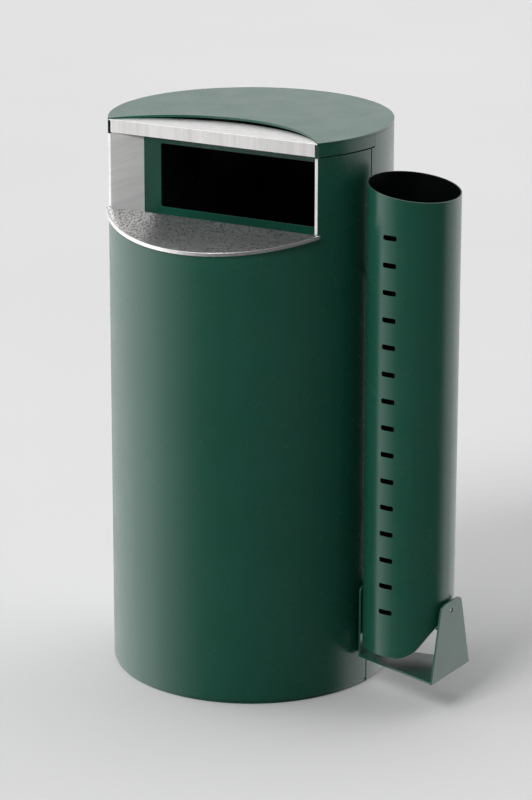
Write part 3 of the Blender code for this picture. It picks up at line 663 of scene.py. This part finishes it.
# ---------------------------------------------------------------- can tube
def foot_cutter():
    """All that lies under the foot's slope, with the corner between the slope and the flat end rounded."""
    slope = tan(radians(FOOT_ANGLE))
    corner = TUBE_RADIUS - (FOOT_HEIGHT - TUBE_BOTTOM) / slope
    start = corner - FOOT_ROUNDING * tan(radians(FOOT_ANGLE / 2))
    rounding = arc((start, TUBE_BOTTOM + FOOT_ROUNDING), FOOT_ROUNDING, -90, FOOT_ANGLE - 90, FOOT_STEP)
    end = (TUBE_REACH, FOOT_HEIGHT + (TUBE_REACH - TUBE_RADIUS) * slope)
    below = TUBE_BOTTOM - TUBE_REACH
    outline = [(start, below), *rounding, end, (TUBE_REACH, below)]
    return plate("foot", [outline], 2 * TUBE_REACH, TUBE_PLACE @ at(0, TUBE_REACH, 0, ALONG_Y))


def slot_cutter():
    across, up = SLOT_SIZE[0] / 2, SLOT_SIZE[1] / 2
    heights = [SLOT_FIRST + SLOT_PITCH * i for i in range(SLOT_COUNT)]
    slots = [rounded_box(-across, z - up, across, z + up, SLOT_CORNER) for z in heights]
    return plate("slots", slots, TUBE_REACH / 2, TUBE_PLACE @ at(0, -TUBE_REACH / 2, 0, ALONG_Y))


def make_tube():
    rings = [circle((0, 0), radius, TUBE_STEP) for radius in (TUBE_RADIUS, TUBE_RADIUS - SHEET)]
    tube = plate("tube_fine", rings, TUBE_BLANK, raised(TUBE_BOTTOM, TUBE_PLACE))
    around = box_outline(-TUBE_REACH, -TUBE_REACH, TUBE_REACH, TUBE_REACH)
    mouth = sloped(plate("mouth", [around], 2 * TUBE_REACH), *MOUTH_SLOPES)
    mouth.matrix_basis = raised(TUBE_MOUTH, TUBE_PLACE)
    hole = circle((0, TUBE_PIVOT.z), BORE_RADIUS)
    bore = plate("bore", [hole], 2 * TUBE_REACH, TUBE_PLACE @ at(-TUBE_REACH, 0, 0, ALONG_X))
    cut(tube, mouth, foot_cutter(), slot_cutter(), bore)
    finish_edges(tube, THIN_EDGE)
    dress(tube, GREEN_TUBE_SHADED_INSIDE, "can_tube", "green_paint", "tube")


def keep_cad_nodes():
    """The small fittings keep their CAD shape, with rounded edges and their own finish."""
    finishes = {
        "green_paint": GREEN, "stainless": STEEL_TURNED, "zinc_steel": ZINC, "galvanised": GALVANISED,
        "brass": BRASS, "nylon": NYLON,
    }
    slots = {part["node"]: part["material_slot"] for part in frame["record"]["subparts"]}
    for name, obj in NODES.items():
        if obj.hide_render:
            continue
        obj.data.materials.clear()
        obj.data.materials.append(finishes[slots[name]])
        weld = obj.modifiers.new("weld", "WELD")
        weld.merge_threshold = CAD_MERGE_DISTANCE
        finish_edges(obj, FITTING_EDGE)


# ---------------------------------------------------------------- studio
def make_floor():
    mesh = bpy.data.meshes.new("floor")
    shape = bmesh.new()
    bmesh.ops.create_circle(shape, cap_ends=True, radius=FLOOR_RADIUS, segments=64)
    shape.to_mesh(mesh)
    shape.free()
    floor = new_object("floor", mesh, raised(-FLOOR_DROP))
    floor.data.materials.append(floor_material())
    floor.visible_glossy = False


def make_world():
    """A soft glow that varies with azimuth only: bright at the left, dark in front, paler right and back."""
    world = bpy.data.worlds.new("studio")
    bpy.context.scene.world = world
    world.use_nodes = True
    tree = world.node_tree
    direction = tree.nodes.new("ShaderNodeTexCoord")
    around = tree.nodes.new("ShaderNodeTexGradient")
    around.gradient_type = "RADIAL"
    tree.links.new(direction.outputs["Generated"], around.inputs["Vector"])
    glow = tree.nodes.new("ShaderNodeValToRGB")
    fill_ramp(glow, [((azimuth - GLOW[0][0]) / 360, (level, level, level)) for azimuth, level in GLOW])
    tree.links.new(around.outputs["Fac"], glow.inputs["Fac"])
    background = tree.nodes["Background"]
    background.inputs["Strength"].default_value = GLOW_STRENGTH
    tree.links.new(glow.outputs["Color"], background.inputs["Color"])


def make_lights():
    """A soft high key light, and a small spot that reaches the left cheek through the inlet."""
    key = bpy.data.lights.new("key", "SUN")
    key.energy = KEY_STRENGTH
    key.angle = radians(KEY_ANGLE)
    light = new_object("key", key)
    light.rotation_euler = (radians(90 - KEY_ELEVATION), 0, radians(KEY_AZIMUTH))
    spot = bpy.data.lights.new("inlet_spot", "SPOT")
    spot.energy = SPOT_POWER
    spot.spot_size = radians(SPOT_ANGLE)
    spot.spot_blend = SPOT_BLEND
    spot.shadow_soft_size = SPOT_SIZE
    inlet = new_object("inlet_spot", spot, Matrix.Translation(SPOT_PLACE))
    inlet.rotation_euler = (SPOT_TARGET - SPOT_PLACE).to_track_quat("-Z", "Y").to_euler()
    inlet.visible_glossy = False


def make_camera():
    data = bpy.data.cameras.new("camera")
    data.sensor_width = SENSOR_WIDTH
    data.lens = CAMERA_LENS
    data.shift_x, data.shift_y = CAMERA_SHIFT
    camera = new_object("camera", data)
    turn = radians(CAMERA_AZIMUTH)
    camera.location = (CAMERA_DISTANCE * sin(turn), -CAMERA_DISTANCE * cos(turn), CAMERA_HEIGHT)
    camera.rotation_euler = (radians(90 - CAMERA_PITCH), 0, turn)
    bpy.context.scene.camera = camera


make_camera()
make_rear_shell()
make_lid()
make_skirts()
make_roof_lip()
make_door_shell()
make_sill()
make_cheek("left", -1)
make_cheek("right", 1)
make_inner_frame()
make_tube()
keep_cad_nodes()
make_floor()
make_world()
make_lights()
bpy.context.scene.view_settings.view_transform = "Standard"
